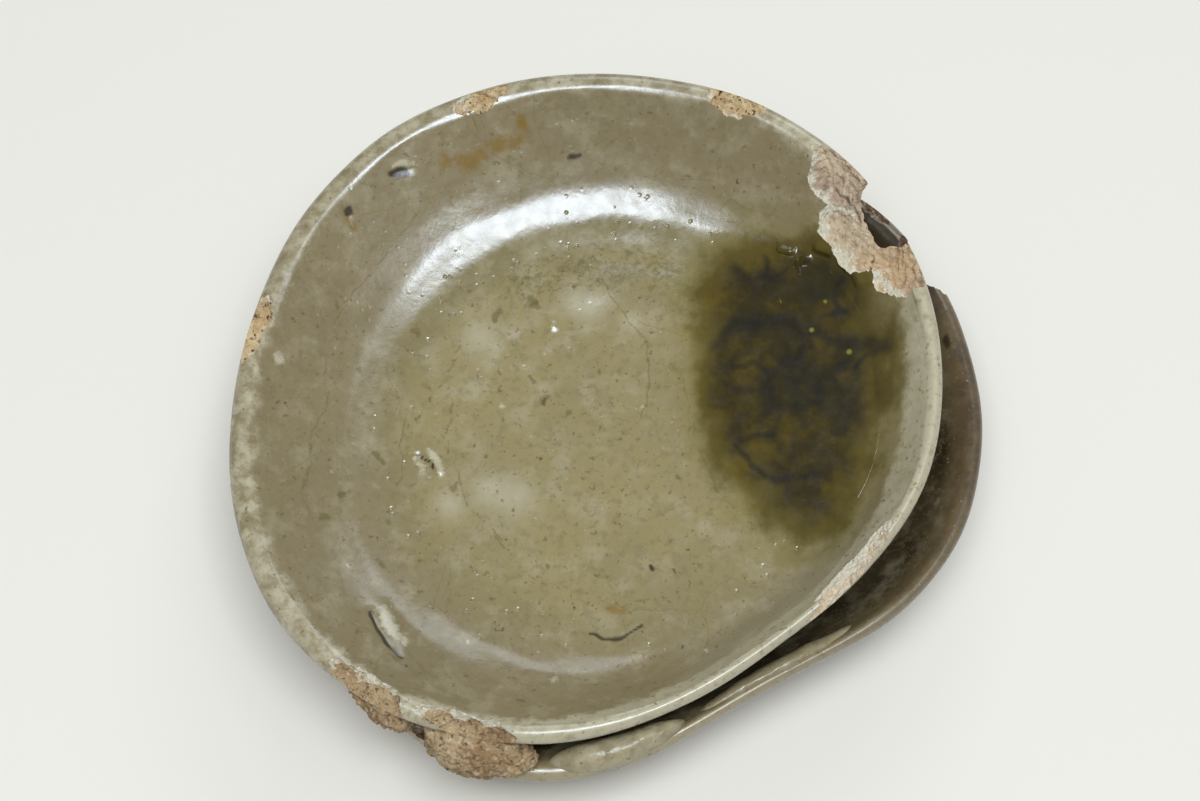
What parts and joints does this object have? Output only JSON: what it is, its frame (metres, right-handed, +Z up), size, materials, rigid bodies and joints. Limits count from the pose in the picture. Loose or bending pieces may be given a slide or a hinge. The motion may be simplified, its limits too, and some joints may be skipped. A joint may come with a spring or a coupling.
{
  "type": "plate",
  "caption": "Small ash-glazed stoneware dish slumped into and stuck inside a like dish, with a glaze pool, chipped rims and a turned foot ring.",
  "frame": {"origin": "on the table, under the middle of the stack's box", "axes": "+Z up from the table, +X towards the side where the lower dish shows most, +Y away from the picture's viewer"},
  "size_m": [0.113, 0.1094, 0.0357],
  "materials": {
    "ash_glaze_lower": "thin ash glaze over stoneware",
    "ash_glaze_upper": "crackled ash glaze over stoneware",
    "pooled_glaze": "thick dark olive glaze, glassy",
    "kiln_clay": "bare fired clay",
    "kiln_grit": "rough sintered grit and clay",
    "glaze_bridge": "glaze that ran between the rims"
  },
  "bodies": {
    "root": {"lower_dish": "ash_glaze_lower", "upper_dish": "ash_glaze_upper", "upper_glaze_pool": "pooled_glaze", "lower_glaze_pool": "pooled_glaze", "clay_wad_1": "kiln_clay", "clay_wad_2": "kiln_clay", "clay_wad_3": "kiln_clay", "grit_weld_left": "kiln_grit", "grit_weld_front": "kiln_grit", "glaze_weld_front": "glaze_bridge", "glaze_weld_middle": "glaze_bridge"}
  },
  "joints": []
}
